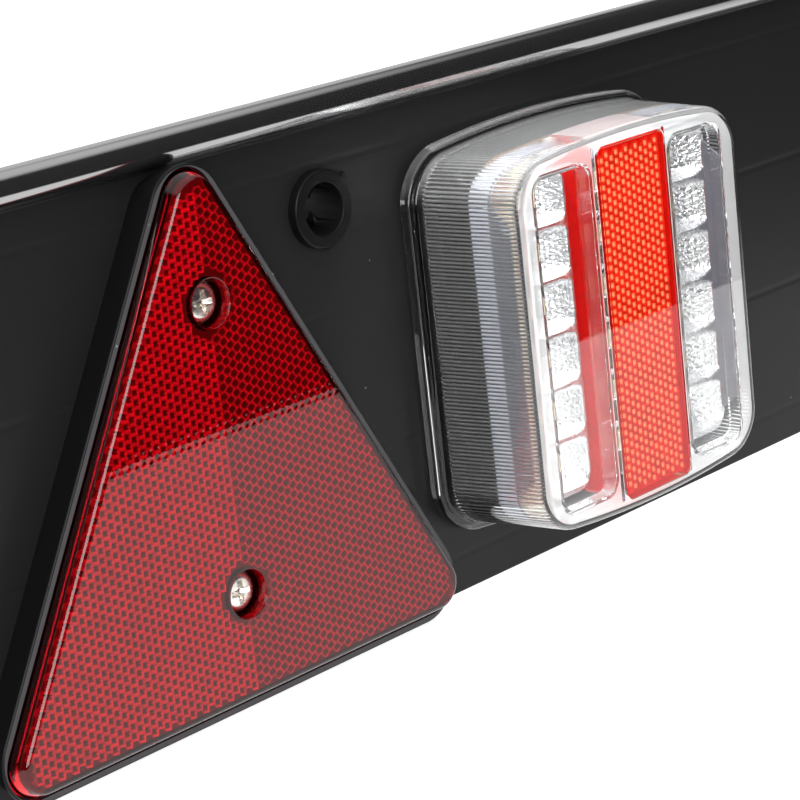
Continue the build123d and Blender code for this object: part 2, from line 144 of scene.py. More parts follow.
def make_floor():
    """A flat square at the plank's lower edge. The camera sees it white with a soft shadow; in
    reflections it is bright paper near the plank and dark further in front."""
    mesh = bpy.data.meshes.new("floor")
    square = np.array(((-1, -1), (1, -1), (1, 1), (-1, 1))) * FLOOR_HALF
    mesh.from_pydata(np.column_stack((square, np.full(4, cad_low[2]))), [], [(0, 1, 2, 3)])
    material = bpy.data.materials.new("white_paper")
    material.use_nodes = True
    tree = material.node_tree
    tree.nodes.clear()
    path = add(tree, "LightPath").outputs
    place = add(tree, "SeparateXYZ", {0: add(tree, "TexCoord").outputs["Object"]})
    near = maths(tree, "GREATER_THAN", place.outputs["Y"], -PAPER_REACH)
    fade = span(tree, place.outputs["X"], 1.0, 0.0, PAPER_END, PAPER_END + PAPER_FADE)
    glow = blend(tree, maths(tree, "MULTIPLY", near, fade), grey(ROOM_SHADE), grey(PAPER_GLOW))
    mirrored = add(tree, "Emission", {"Color": glow}).outputs[0]
    lit = add(tree, "BsdfDiffuse", {"Color": grey(PAPER_COLOUR)}).outputs[0]
    white = add(tree, "Emission", {"Color": grey(1), "Strength": PAPER_WHITE}).outputs[0]
    shown = add(tree, "AddShader", {0: lit, 1: white}).outputs[0]
    bent = maths(tree, "MAXIMUM", path["Is Glossy Ray"], path["Is Transmission Ray"])
    other = add(tree, "MixShader", {0: bent, 1: lit, 2: mirrored}).outputs[0]
    whole = add(tree, "MixShader", {0: path["Is Camera Ray"], 1: other, 2: shown}).outputs[0]
    add(tree, "OutputMaterial", {"Surface": whole})
    mesh.materials.append(material)
    link_object("floor", mesh)


def make_world():
    """White behind and high above the plank, dark in front of it in reflections, and an even fill for
    diffuse light."""
    world = bpy.data.worlds.new("studio")
    scene.world = world
    world.use_nodes = True
    tree = world.node_tree
    tree.nodes.clear()
    path = add(tree, "LightPath").outputs
    way = add(tree, "SeparateXYZ", {0: add(tree, "TexCoord").outputs["Generated"]})
    edges = (("Y", BACKDROP_SINE, BACKDROP_BLUR), ("Z", CEILING_SINE, CEILING_BLUR))
    sides = [span(tree, way.outputs[axis], ROOM_SHADE, 1.0, sine - blur, sine + blur)
             for axis, sine, blur in edges]
    bright = maths(tree, "MAXIMUM", *sides)
    fill = maths(tree, "MULTIPLY", path["Is Diffuse Ray"], FILL_LEVEL)
    sharp = maths(tree, "MULTIPLY", maths(tree, "SUBTRACT", 1.0, path["Is Diffuse Ray"]), bright)
    strength = maths(tree, "MAXIMUM", maths(tree, "ADD", fill, sharp), path["Is Camera Ray"])
    glow = add(tree, "Background", {"Color": grey(1), "Strength": strength})
    add(tree, "OutputWorld", {"Surface": glow.outputs[0]})


def make_lamp(name, place, aim, width, height, watts, mirrored):
    """A soft rectangular lamp at a place, turned to an aim, that the camera doesn't see and that shows in
    reflections or not."""
    light = bpy.data.lights.new(name, "AREA")
    light.shape = "RECTANGLE"
    light.size = width
    light.size_y = height
    light.energy = watts
    lamp = bpy.data.objects.new(name, light)
    back = np.array(place) - np.array(aim)
    back = back / np.linalg.norm(back)
    side = np.cross((0, 1, 0) if abs(back[2]) > 0.9 else (0, 0, 1), back)
    side = side / np.linalg.norm(side)
    turn = np.stack((side, np.cross(back, side), back), 1)
    lamp.matrix_world = Matrix.Translation(place) @ Matrix(turn).to_4x4()
    lamp.visible_camera = False
    lamp.visible_glossy = mirrored
    scene.collection.objects.link(lamp)


make_floor()
make_world()
make_lamp("overhead_lamp", (0.3, -0.3, 1.3), (0.3, -0.3, 0.0), 2.4, 1.8, 50, False)
make_lamp("left_lamp", (-0.7, -1.2, 0.6), (0.35, 0.0, 0.0), 1.2, 1.2, 28, True)


# Plank: one hollow extrusion in black plastic, with a round hollow bead along the top, level webs
# inside that leave faint sink lines on its front, and holes for the bushes, bolts and cables.
SKIN = 2.0
WEB = 1.6
WEB_COUNT = 4
WEB_MARGIN = 9.7
TOP_WALL = 3.2
BEAD_RADIUS = 4.55
BEAD_BORE = 2.4
BEAD_CREASE = 0.8
BACK_CORNER = 2.0
FOOT_CORNER = 0.6
SINK_DEPTH = 0.09
SINK_WIDTH = 1.4
BUSH_HOLE = 8.1
CABLE_HOLE = 5.5
BOLT_HOLE = 2.8
BOLT_HEAD = 5.0
HOLE_STEPS = 48
POLISH_INDEX = 4.2
POLISH_BLUR = 0.1
SPECULAR = 0.15
DUST_SCALE = 140.0
DUST_SIZE = 0.05
DUST_RARITY = 5.0
DUST_COLOUR = 0.35


def cad_box(node):
    """The low and high corners of a CAD node's box, in millimetres."""
    return np.array(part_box(node)) / MM


plank_low, plank_high = cad_box("board")
plank_back, plank_half, plank_foot = plank_high[1], plank_high[0], plank_low[2]
bead_level = plank_high[2] - BEAD_RADIUS
flat_top = bead_level - BEAD_RADIUS
web_pitch = (flat_top - plank_foot - 2 * WEB_MARGIN) / (WEB_COUNT - 1)
web_levels = plank_foot + WEB_MARGIN + web_pitch * np.arange(WEB_COUNT)


def arc(centre, radius, start, end, steps):
    """Points on a circle: the centre plus a radius at evenly spaced angles, in degrees."""
    angle = np.radians(np.linspace(start, end, steps))
    return np.stack((centre[0] + radius * np.cos(angle), centre[1] + radius * np.sin(angle)), 1)


def ring_edges(ring):
    """The edges of a closed ring of point numbers."""
    return np.stack((ring, np.roll(ring, -1)), 1)


def band(first, second):
    """Quads between two closed rings of point numbers of the same length."""
    return np.column_stack((first, np.roll(first, -1), np.roll(second, -1), second))


def shell(name, rings, bands, fills=(), field=None, angle=35):
    """A closed mesh from rings of points in millimetres. Quads join the pairs of rings in bands. Each
    fill is a flat region between the rings it names. A field adds points, quads, open edges and each
    quad's material number, and may give the quads' corners a place in a map; in a fill, the name "field"
    stands for its open edges. Sharp edges are those that turn by more than the angle."""
    starts = np.cumsum([0] + [len(ring) for ring in rings])
    numbers = [np.arange(start, end) for start, end in zip(starts, starts[1:])]
    points = list(rings)
    faces = [band(numbers[a], numbers[b]) for a, b in bands]
    field_edges = None
    if field:
        points.append(field[0])
        faces.append(field[1] + starts[-1])
        field_edges = field[2] + starts[-1]
    faces = np.concatenate(faces)
    mesh = bpy.data.meshes.new(name)
    mesh.from_pydata(np.concatenate(points) * MM, [], faces.tolist())
    if field:
        finish = np.concatenate((np.zeros(len(faces) - len(field[3]), int), field[3]))
        mesh.polygons.foreach_set("material_index", finish)
    if field and len(field) > 4:
        places = np.zeros((len(faces), 4, 2))
        places[-len(field[4]):] = field[4]
        mesh.uv_layers.new(name="cell").data.foreach_set("uv", places.ravel())
    work = bmesh.new()
    work.from_mesh(mesh)
    work.verts.ensure_lookup_table()
    for fill in fills:
        pairs = np.concatenate([field_edges if part == "field" else ring_edges(numbers[part])
                                for part in fill])
        ends = [(work.verts[a], work.verts[b]) for a, b in pairs.tolist()]
        border = [work.edges.get(pair) or work.edges.new(pair) for pair in ends]
        bmesh.ops.triangle_fill(work, use_beauty=True, edges=border)
    bmesh.ops.recalc_face_normals(work, faces=work.faces)
    work.to_mesh(mesh)
    work.free()
    mesh.shade_smooth()
    mesh.set_sharp_from_angle(angle=np.radians(angle))
    return mesh


def bars(name, rings):
    """Closed bars, each from one ring of a pair to the other."""
    pairs = [(i, i + 1) for i in range(0, len(rings), 2)]
    return shell(name, rings, pairs, [[i] for i in range(len(rings))])


def cut(mesh, cutter):
    """A mesh less another one."""
    piece = link_object("piece_to_cut", mesh)
    tool = link_object("cutter", cutter)
    boolean = piece.modifiers.new("cut", "BOOLEAN")
    boolean.object = tool
    bpy.context.view_layer.update()
    left = bpy.data.meshes.new_from_object(piece.evaluated_get(bpy.context.evaluated_depsgraph_get()))
    bpy.data.objects.remove(piece)
    bpy.data.objects.remove(tool)
    return left


def dress(name, mesh, node, slot_name, *materials):
    """Put a finished mesh in a CAD node's place, with normals weighted to its large flat faces."""
    piece = link_object(name, mesh)
    for material in materials:
        mesh.materials.append(material)
    piece.modifiers.new("weighted_normals", "WEIGHTED_NORMAL").keep_sharp = True
    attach(piece, "root")
    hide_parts(node)
    return piece


def plank_section():
    """The outer outline, depth then height: up the front face, round the bead, down the back and along
    the foot. The front dips by a cosine bell at each web."""
    lean = np.degrees(np.arcsin(BEAD_CREASE / (BEAD_RADIUS + BEAD_CREASE)))
    crease_level = bead_level - (BEAD_RADIUS + BEAD_CREASE) * np.cos(np.radians(lean))
    height = np.linspace(plank_foot + FOOT_CORNER, crease_level, 400)[:-1]
    off = np.minimum(np.abs(height[:, None] - web_levels) / SINK_WIDTH, 1)
    front = np.stack((SINK_DEPTH * (0.5 + 0.5 * np.cos(np.pi * off)).sum(1), height), 1)
    crease = arc((-BEAD_CREASE, crease_level), BEAD_CREASE, 0, 90 - lean, 7)[:-1]
    bead = arc((0, bead_level), BEAD_RADIUS, 270 - lean, 0, 73)
    shoulder = arc((plank_back - BACK_CORNER, bead_level - BACK_CORNER), BACK_CORNER, 90, 0, 13)
    heel = arc((plank_back - FOOT_CORNER, plank_foot + FOOT_CORNER), FOOT_CORNER, 0, -90, 7)
    toe = arc((FOOT_CORNER, plank_foot + FOOT_CORNER), FOOT_CORNER, 270, 180, 7)[:-1]
    return np.concatenate((front, crease, bead, shoulder, heel, toe))


def plank_hollows():
    """The rooms between the webs, as rectangles in depth and height, and the bore of the bead."""
    inner = plank_back - SKIN
    floors = np.concatenate(([plank_foot + SKIN], web_levels + WEB / 2))
    ceilings = np.concatenate((web_levels - WEB / 2, [bead_level - TOP_WALL]))
    rooms = [np.array(((SKIN, low), (SKIN, high), (inner, high), (inner, low)))
             for low, high in zip(floors, ceilings)]
    return rooms + [arc((0, bead_level), BEAD_BORE, 0, 360, 33)[:-1]]


def raise_ring(ring, rise, z=0.0):
    """A flat ring of points at a rise in front of the plank, moved up by z."""
    return np.column_stack((ring[:, 0], np.full(len(ring), -rise), ring[:, 1] + z))


def plank_holes():
    """Round bars through the plank where the bushes, cables and bolts pass."""
    places = []
    for side in ("left", "right"):
        low, high = cad_box(f"{side}_fixing_bush")
        radius = (high[2] - low[2]) / 2
        places.append((low[0] + radius, low[2] + radius, BUSH_HOLE))
        low, high = cad_box(f"{side}_lamp_bolts")
        x = (low[0] + high[0]) / 2
        places.append((x, (low[2] + high[2]) / 2, CABLE_HOLE))
        places += [(x, z, BOLT_HOLE) for z in (low[2] + BOLT_HEAD, high[2] - BOLT_HEAD)]
    rings = [raise_ring(arc((x, z), radius, 0, 360, HOLE_STEPS + 1)[:-1], rise)
             for x, z, radius in places for rise in (-2 * plank_back, plank_back)]
    return bars("plank_holes", rings)


def principled(name):
    """A new material, its node tree, its Principled shader and the place of a point on the object."""
    material = bpy.data.materials.new(name)
    material.use_nodes = True
    tree = material.node_tree
    return material, tree, tree.nodes["Principled BSDF"], add(tree, "TexCoord").outputs["Object"]


def join(tree, shader, **sockets):
    """Link outputs to the shader's inputs; underscores in the names stand for spaces."""
    for name, value in sockets.items():
        tree.links.new(value, shader.inputs[name.replace("_", " ")])


def noise(tree, place, scale, detail=2.0):
    """Soft noise over a place: the scale sets how fine it is, and the detail how rough."""
    return add(tree, "TexNoise", {"Vector": place, "Scale": scale, "Detail": detail}).outputs[0]


def black_plastic(name, shade, gloss, stretch, scale, depth, dust, polish=None):
    """Black plastic: noise, stretched along the plank or even, in gloss and bump, with specks of dust.
    Above the level of polish, where one is given, it carries a hard clear coat."""
    material, tree, shader, place = principled(name)
    drawn = add(tree, "Mapping", {"Vector": place, "Scale": (1 / stretch, 1.0, 1.0)}).outputs[0]
    grain = noise(tree, drawn, scale, 4.0)
    bump = add(tree, "Bump", {"Height": grain, "Strength": 1.0, "Distance": depth}).outputs[0]
    cells = add(tree, "TexVoronoi", {"Vector": place, "Scale": DUST_SCALE})
    chance = add(tree, "SeparateColor", {0: cells.outputs["Color"]}).outputs[0]
    size = maths(tree, "MULTIPLY", maths(tree, "POWER", chance, DUST_RARITY), DUST_SIZE)
    speck = maths(tree, "MULTIPLY", maths(tree, "LESS_THAN", cells.outputs["Distance"], size), dust)
    tone = blend(tree, speck, (shade, shade, 1.05 * shade, 1), grey(DUST_COLOUR))
    join(tree, shader, Base_Color=tone, Roughness=span(tree, grain, *gloss), Normal=bump)
    shader.inputs["Specular IOR Level"].default_value = SPECULAR
    if polish:
        height = add(tree, "SeparateXYZ", {0: place}).outputs["Z"]
        join(tree, shader, Coat_Weight=maths(tree, "GREATER_THAN", height, polish * MM))
        shader.inputs["Coat IOR"].default_value = POLISH_INDEX
        shader.inputs["Coat Roughness"].default_value = POLISH_BLUR
    return material


def make_plank():
    """The outline and the hollows carried along the plank, with its end faces filled between them."""
    outlines = [plank_section()] + plank_hollows()
    rings = [np.column_stack((np.full(len(outline), x), outline))
             for x in (-plank_half, plank_half) for outline in outlines]
    count = len(outlines)
    plank = shell("plank_whole", rings, [(i, i + count) for i in range(count)],
                  [range(count), range(count, 2 * count)])
    material = black_plastic("black_plank_plastic", 0.01, (0.34, 0.38), 60, 500.0, 0.0000001, 0.8, flat_top)
    dress("plank", cut(plank, plank_holes()), "board", "black_plank", material)


make_plank()


# Triangle trays: black plastic mouldings, held to the plank by the lens screws. Their walls flare to a
# flat grained rim round the lens, with a rebate inside it for the lens's lip.
FRAME_FLOOR = 2.0
FRAME_BACK_CORNER = 10.0
FRAME_RIM_CORNER = 11.3
FRAME_BACK_WIDTH = 2.25
FRAME_RIM_WIDTH = 4.25
FRAME_CLEARANCE = 0.4
FRAME_EDGE = 0.7
FRAME_LIP = 0.3
LENS_CORNER = 6.0
LENS_LIP = 1.9
LENS_LIP_DEPTH = 2.3
LENS_LIP_GAP = 0.2
CORNER_STEPS = 33
EDGE_STEPS = 7

lens_low, lens_high = cad_box("right_triangle_lens")
lens_height = lens_high[2] - lens_low[2] + LENS_CORNER - 2 * LENS_LIP
lens_half = lens_height / np.sqrt(3)
lens_rise = -lens_low[1]
lens_foot = lens_low[2] + LENS_LIP
frame_rise = -cad_box("right_triangle_frame")[0][1]
lip_foot = frame_rise - LENS_LIP_DEPTH


def quarter_round(radius):
    """A rounded edge in steps from its side to its top: the drop below the top is the radius times one less
    the sine, and the inset from the side is the radius times one less the cosine. With the two swapped, the
    steps go from the top down into a hole."""
    angle = np.radians(np.linspace(0, 90, EDGE_STEPS))
    return radius * (1 - np.stack((np.sin(angle), np.cos(angle)), 1))


def triangle_ring(margin, corner):
    """The lens's triangle grown by a margin. Each corner is an arc about a point that is set back from
    the sharp corner by twice the corner's radius."""
    reach = lens_half + margin * np.sqrt(3)
    tips = np.array(((reach, -margin), (0, lens_height + 2 * margin), (-reach, -margin)))
    inward = np.array((0, lens_height / 3)) - tips
    inward = inward / np.linalg.norm(inward, axis=1, keepdims=True)
    outward_angle = np.arctan2(-inward[:, 1], -inward[:, 0])
    angle = outward_angle[:, None] + np.radians(np.linspace(-60, 60, CORNER_STEPS))
    arcs = (tips + 2 * corner * inward)[:, None, :] + corner * np.stack((np.cos(angle), np.sin(angle)), -1)
    return arcs.reshape(-1, 2)


def loft_bands(first, end):
    """Each ring joined to the next, from the first to just before the end."""
    return [(i, i + 1) for i in range(first, end - 1)]


def at_both_ends(mesh, node, slot_name, *materials, z=0.0, shadow=True):
    """Copies of a mesh, made about x = 0 and moved up by z, in the place of the left and of the right CAD
    node. They throw a shadow or not."""
    for side in ("left", "right"):
        low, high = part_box(f"{side}_{node}")
        copy = mesh.copy()
        copy.transform(Matrix.Translation(((low[0] + high[0]) / 2, 0, z * MM)))
        piece = dress(f"{side}_{node}_piece", copy, f"{side}_{node}", slot_name, *materials)
        piece.visible_shadow = shadow


def faces_of(mesh):
    """The material number of each face, its centre in millimetres and its normal."""
    finish = np.zeros(len(mesh.polygons), int)
    centre, normal = np.zeros((2, 3 * len(mesh.polygons)))
    for name, values in (("material_index", finish), ("center", centre), ("normal", normal)):
        mesh.polygons.foreach_get(name, values)
    return finish, centre.reshape(-1, 3) / MM, normal.reshape(-1, 3)


def make_triangle_trays():
    """Rings from the back outline out to the rim, over its rounded edges, down the rebate for the lens's
    lip and into the well and its floor. The rim's flat is grained."""
    steps = [(0.0, FRAME_BACK_WIDTH, FRAME_BACK_CORNER)]
    for drop, inset in quarter_round(FRAME_EDGE):
        steps.append((frame_rise - drop, FRAME_RIM_WIDTH - inset, FRAME_RIM_CORNER - inset))
    mouth = LENS_LIP + FRAME_CLEARANCE
    inner = [(frame_rise - drop, mouth + inset) for inset, drop in quarter_round(FRAME_LIP)]
    rebate = lip_foot - LENS_LIP_GAP
    inner += [(rebate, mouth), (rebate, FRAME_CLEARANCE), (FRAME_FLOOR, FRAME_CLEARANCE)]
    steps += [(rise, margin, LENS_CORNER + margin) for rise, margin in inner]
    rings = [raise_ring(triangle_ring(margin, corner), rise, lens_foot) for rise, margin, corner in steps]
    mesh = shell("triangle_tray", rings, loft_bands(0, len(rings)), [[0], [len(rings) - 1]])
    _, centre, normal = faces_of(mesh)
    on_rim = (normal[:, 1] < -0.95) & (-centre[:, 1] > frame_rise - FRAME_LIP)
    mesh.polygons.foreach_set("material_index", on_rim.astype(int))
    rim = black_plastic("grained_rim", 0.05, (0.5, 0.65), 1, 2500.0, 0.00003, 0.5)
    at_both_ends(mesh, "triangle_frame", "black_moulding", black_moulding, rim)


black_moulding = black_plastic("black_moulding", 0.004, (0.3, 0.4), 1, 2500.0, 0.000004, 0.5)
make_triangle_trays()


# Triangle lenses: red acrylic with a polished front and a field of cube-corner prisms behind it, turned
# half round between the left and right halves. Two cups for the screws sink into the front.
LENS_WALL = 0.5
LENS_EDGE = 1.6
CUP_RADIUS = 5.75
CUP_DEPTH = 5.9
CUP_WALL = 0.6
CUP_EDGE = 0.4
CUP_GAP = 0.1
ROUND_STEPS = 72
LOWER_SCREW = 25.0
APEX_TO_SCREW = 34.9
SCREW_HOLE = 2.7
PRISM_PITCH = 2.3
PRISM_COVER = 1.2
PRISM_SEAM = 0.12
PRISM_MARGIN = 0.6
# Painted light and shade on the prisms: each cell's middle is painted shade, where the dark tray shows
# through, and its corners are a painted reflection in bright red. The right half is painted darker than the
# left, as the light falls differently on its turned prisms.
PAINTED_SHADE_RED = (0.09, 0.003, 0.004)
LEFT_SPOT = {"middle": PAINTED_SHADE_RED, "corner": (0.75, 0.1, 0.12), "radius": 0.29, "blur": 0.05, "power": 5.0}
RIGHT_SPOT = {"middle": PAINTED_SHADE_RED, "corner": (0.8, 0.12, 0.14), "radius": 0.38, "blur": 0.06, "power": 2.0}
CELL_CORNER = (0.47, 0.56)
CELL_SIDE = 0.25

cup_levels = [LOWER_SCREW, lens_height - APEX_TO_SCREW]
cup_floor = lens_rise - CUP_DEPTH
prism_step = PRISM_PITCH / np.sqrt(6)


def lens_room(place):
    """True for places inside the lens's rounded outline by the prism margin and clear of the cups. The
    outline is a smaller sharp triangle grown by the corner's radius."""
    sharp = triangle_ring(-LENS_CORNER, 0.0)[::CORNER_STEPS]
    tip_way = sharp - np.array((0, lens_height / 3))
    tip_way = tip_way / np.linalg.norm(tip_way, axis=1, keepdims=True)
    from_tip = place[..., None, :] - sharp
    reach = LENS_CORNER - PRISM_MARGIN
    beyond_side = np.einsum("...sk,sk->...s", from_tip, -np.roll(tip_way, 1, 0))
    far = np.linalg.norm(from_tip, axis=-1)
    past_tip = (np.einsum("...sk,sk->...s", from_tip, tip_way) > 0.5 * far) & (far > reach)
    cups = np.array([(0, cup) for cup in cup_levels])
    cup_reach = CUP_RADIUS + CUP_WALL + CUP_GAP
    clear = np.linalg.norm(place[..., None, :] - cups, axis=-1) > cup_reach
    return (beyond_side < reach).all(-1) & ~past_tip.any(-1) & clear.all(-1)


def prism_field(room, columns, rows, front_rise, seam, turns, finishes):
    """Cube corners on a triangular lattice, seen from their open side. Each cell is a hexagon of three
    square faces that meet at its deepest point; the hexagon's corners lie one and two prism steps
    nearer the front in turn, and the cells of the left and right halves are turned by an angle each.
    Cells that fit the room are kept and joined, and their open edges drop to the deepest level. The map
    of a face is its place from the middle of its cell, in pitches; the faces that drop have one place."""
    cells, finish = [], []
    i, j = np.meshgrid(np.arange(columns), np.arange(-rows, rows), indexing="ij")
    for half, turn, material in zip((-1, 1), turns, finishes):
        across = half * ((i + 0.5) * PRISM_PITCH * np.sqrt(3) / 2 + seam)
        up = (j + (i + (half > 0)) % 2 / 2) * PRISM_PITCH
        middle = np.stack((across, up), -1).reshape(-1, 1, 2)
        angle = np.radians(np.arange(6) * 60 + turn)
        rim = middle + PRISM_PITCH / np.sqrt(3) * np.stack((np.cos(angle), np.sin(angle)), -1)
        cells.append(np.concatenate((middle, rim), 1)[room(rim).all(1)])
        finish.append(np.full(len(cells[-1]), material))
    cells = np.concatenate(cells)
    finish = np.tile(np.concatenate(finish), 3)
    corners_of_faces = ((0, 1, 2, 3), (0, 3, 4, 5), (0, 5, 6, 1))
    places = np.concatenate([(cells - cells[:, :1])[:, face] for face in corners_of_faces]) / PRISM_PITCH
    depth = np.tile((2, 1, 0, 1, 0, 1, 0), (len(cells), 1)) * prism_step
    corners = np.concatenate((cells, depth[..., None]), -1).reshape(-1, 3)
    points, numbers = np.unique(np.round(corners, 3), axis=0, return_inverse=True)
    numbers = numbers.reshape(-1, 7)
    faces = np.concatenate([numbers[:, face] for face in corners_of_faces])
    sides = np.stack((faces, np.roll(faces, -1, 1)), -1).reshape(-1, 2)
    first, used = np.unique(np.sort(sides, 1), axis=0, return_index=True, return_counts=True)[1:]
    border = sides[first[used == 1]]
    rim, below = np.unique(border, return_inverse=True)
    below = below.reshape(-1, 2) + len(points)
    dropped = points[rim]
    dropped[:, 2] = 2 * prism_step
    points = np.concatenate((points, dropped))
    faces = np.concatenate((faces, np.column_stack((border[:, 1], border[:, 0], below))))
    finish = np.concatenate((finish, np.full(len(border), finishes[0])))
    places = np.concatenate((places, np.full((len(border), 4, 2), CELL_SIDE)))
    points = np.column_stack((points[:, 0], points[:, 2] + PRISM_COVER - front_rise, points[:, 1]))
    return points, faces, below, finish, places


def circle(radius, z=0.0):
    """A ring about a point on the piece's middle line."""
    return arc((0, z), radius, 0, 360, ROUND_STEPS + 1)[:-1]


def clear_plastic(name, colour, index, haze, dust=0.0, dimple=0.0, clarity=1.0):
    """Clear, dyed or satin plastic, a little uneven in gloss. A film of dust lies on what faces up. Shallow
    dimples over the prisms are three crossed cosine waves at the prisms' pitch."""
    material, tree, shader, place = principled(name)
    shader.inputs["Base Color"].default_value = (*colour, 1)
    shader.inputs["Transmission Weight"].default_value = clarity
    shader.inputs["IOR"].default_value = index
    join(tree, shader, Roughness=span(tree, noise(tree, place, 90.0), 0.0, haze))
    if dust:
        facing = add(tree, "SeparateXYZ", {0: add(tree, "NewGeometry").outputs["Normal"]}).outputs["Z"]
        join(tree, shader, Transmission_Weight=span(tree, facing, 1.0, 1.0 - dust, 0.2, 0.9))
    if dimple:
        waves = []
        for angle in np.radians((30, 90, 150)):
            way = np.array((np.cos(angle), 0, np.sin(angle))) * 4 * np.pi / np.sqrt(3) / PRISM_PITCH / MM
            along = add(tree, "VectorMath", {0: place, 1: way}, operation="DOT_PRODUCT").outputs["Value"]
            waves.append(maths(tree, "COSINE", along))
        height = maths(tree, "ADD", maths(tree, "ADD", waves[0], waves[1]), waves[2])
        bump = add(tree, "Bump", {"Height": height, "Strength": 1.0, "Distance": dimple}).outputs[0]
        join(tree, shader, Normal=bump)
    return material


def cloudy_plastic(name, colour, cloud, through, spot=None):
    """Plastic with slight clouds in tone; a share of the light comes through from behind. On prisms, each
    cell may carry painted light and shade: a spot, a colour inside a radius, in pitches, about the cell's
    middle, and a third colour painted on the cell's corners. The distance is the root of summed powers of
    the place in the cell: a power of two is round, of five nearly square."""
    material, tree, shader, place = principled(name)
    low, high = ((*(np.array(colour) * share), 1) for share in (1 - cloud, 1 + cloud))
    tone = blend(tree, span(tree, noise(tree, place, 400.0, 3.0), 0.0, 1.0), low, high)
    if spot:
        radius, blur, power = (spot[size] for size in ("radius", "blur", "power"))
        cell = add(tree, "SeparateXYZ", {0: add(tree, "TexCoord").outputs["UV"]}).outputs
        across, up = (maths(tree, "POWER", maths(tree, "ABSOLUTE", cell[axis]), power) for axis in "XY")
        far = maths(tree, "POWER", maths(tree, "ADD", across, up), 1 / power)
        outside = span(tree, far, 0.0, 1.0, radius - blur, radius + blur)
        tone = blend(tree, outside, (*spot["middle"], 1), tone)
        tone = blend(tree, span(tree, far, 0.0, 1.0, *CELL_CORNER), tone, (*spot["corner"], 1))
    join(tree, shader, Base_Color=tone)
    shader.inputs["Roughness"].default_value = 0.35
    if through:
        passed = add(tree, "BsdfTranslucent", {"Color": tone}).outputs[0]
        mixed = add(tree, "MixShader", {0: through, 1: shader.outputs[0], 2: passed}).outputs[0]
        tree.links.new(mixed, tree.nodes["Material Output"].inputs["Surface"])
    return material


def make_lenses():
    """The skirt, the lip and the sides that slope up from it to a rounded front edge, then the two cups,
    the skirt's inside and the prism field in the plate's back."""
    plate_back = lens_rise - PRISM_COVER - 2 * prism_step
    steps = [(FRAME_FLOOR, 0.0), (lip_foot, 0.0), (lip_foot, LENS_LIP), (frame_rise, LENS_LIP)]
    slope = np.arctan2(LENS_LIP, lens_rise - frame_rise)
    edge_centre = -LENS_EDGE * (1 - np.sin(slope)) / np.cos(slope)
    turn = np.linspace(slope, np.pi / 2, EDGE_STEPS)
    steps += zip(lens_rise - LENS_EDGE * (1 - np.sin(turn)), edge_centre + LENS_EDGE * np.cos(turn))
    rings = [raise_ring(triangle_ring(margin, LENS_CORNER + margin), rise) for rise, margin in steps]
    outer = len(rings)
    for rise in (FRAME_FLOOR, plate_back):
        rings.append(raise_ring(triangle_ring(-LENS_WALL, LENS_CORNER - LENS_WALL), rise))
    bands = loft_bands(0, outer) + [(0, outer), (outer, outer + 1)]
    front, back = [outer - 1], [outer + 1, "field"]
    for cup in cup_levels:
        first = len(rings)
        profile = [(CUP_RADIUS + inset, lens_rise - drop) for inset, drop in quarter_round(CUP_EDGE)]
        profile += [(CUP_RADIUS, cup_floor), (SCREW_HOLE, cup_floor), (SCREW_HOLE, cup_floor - CUP_WALL),
                    (CUP_RADIUS + CUP_WALL, cup_floor - CUP_WALL), (CUP_RADIUS + CUP_WALL, plate_back)]
        rings += [raise_ring(circle(radius, cup), rise) for radius, rise in profile]
        bands += loft_bands(first, len(rings))
        front.append(first)
        back.append(len(rings) - 1)
    field = prism_field(lens_room, 40, 60, lens_rise, PRISM_SEAM, (0, 180), (1, 2))
    mesh = shell("triangle_lens", rings, bands, [front, back], field, 30)
    finish, centre, _ = faces_of(mesh)
    at_back = np.abs(centre[:, 1] + plate_back) < 0.01
    mesh.polygons.foreach_set("material_index", np.where(at_back & (finish == 0), 3, finish))
    materials = (clear_plastic("red_acrylic", (0.75, 0.002, 0.012), 1.49, 0.02, 0.0, 0.0000013),
                 cloudy_plastic("left_prisms_painted_light_and_shade", (0.6, 0.06, 0.08), 0.2, 0.4, LEFT_SPOT),
                 cloudy_plastic("right_prisms_painted_light_and_shade", (0.45, 0.035, 0.045), 0.2, 0.4, RIGHT_SPOT),
                 cloudy_plastic("plain_red_border", (0.1, 0.005, 0.007), 0.2, 0.4))
    at_both_ends(mesh, "triangle_lens", "red_reflex", *materials, z=lens_foot, shadow=False)


make_lenses()


# Lens screws: nickel-plated steel, with pan heads and a cross recess, driven through the lens's cups into
# the plank. Their shanks are plain.
HEAD_RADIUS = 5.1
HEAD_RISE = 3.0
HEAD_ROUND = 2.1
HEAD_CROWN = 0.15
SHANK_RADIUS = 2.4
SHANK_DEPTH = 7.0
RECESS_SPAN = 5.6
RECESS_WIDTH = 1.3
RECESS_DEPTH = 1.8
RECESS_TAPER = 0.45


def bright_metal(name, colour, gloss, grain=0.0):
    """Plated metal with faint polishing clouds, and a fine grain of a given depth."""
    material, tree, shader, place = principled(name)
    shader.inputs["Base Color"].default_value = (*colour, 1)
    shader.inputs["Metallic"].default_value = 1.0
    join(tree, shader, Roughness=span(tree, noise(tree, place, 700.0, 5.0), *gloss))
    if grain:
        bump = add(tree, "Bump", {"Height": noise(tree, place, 1400.0), "Distance": grain}).outputs[0]
        join(tree, shader, Normal=bump)
    return material


def cross_ring(length, width):
    """The outline of a plus sign: four arms of a half length and half width."""
    a, b = length / 2, width / 2
    arm = np.array(((a, -b), (a, b), (b, b)))
    quarter_turn = np.array(((0, 1), (-1, 0)))
    return np.concatenate([arm @ np.linalg.matrix_power(quarter_turn, turn) for turn in range(4)])


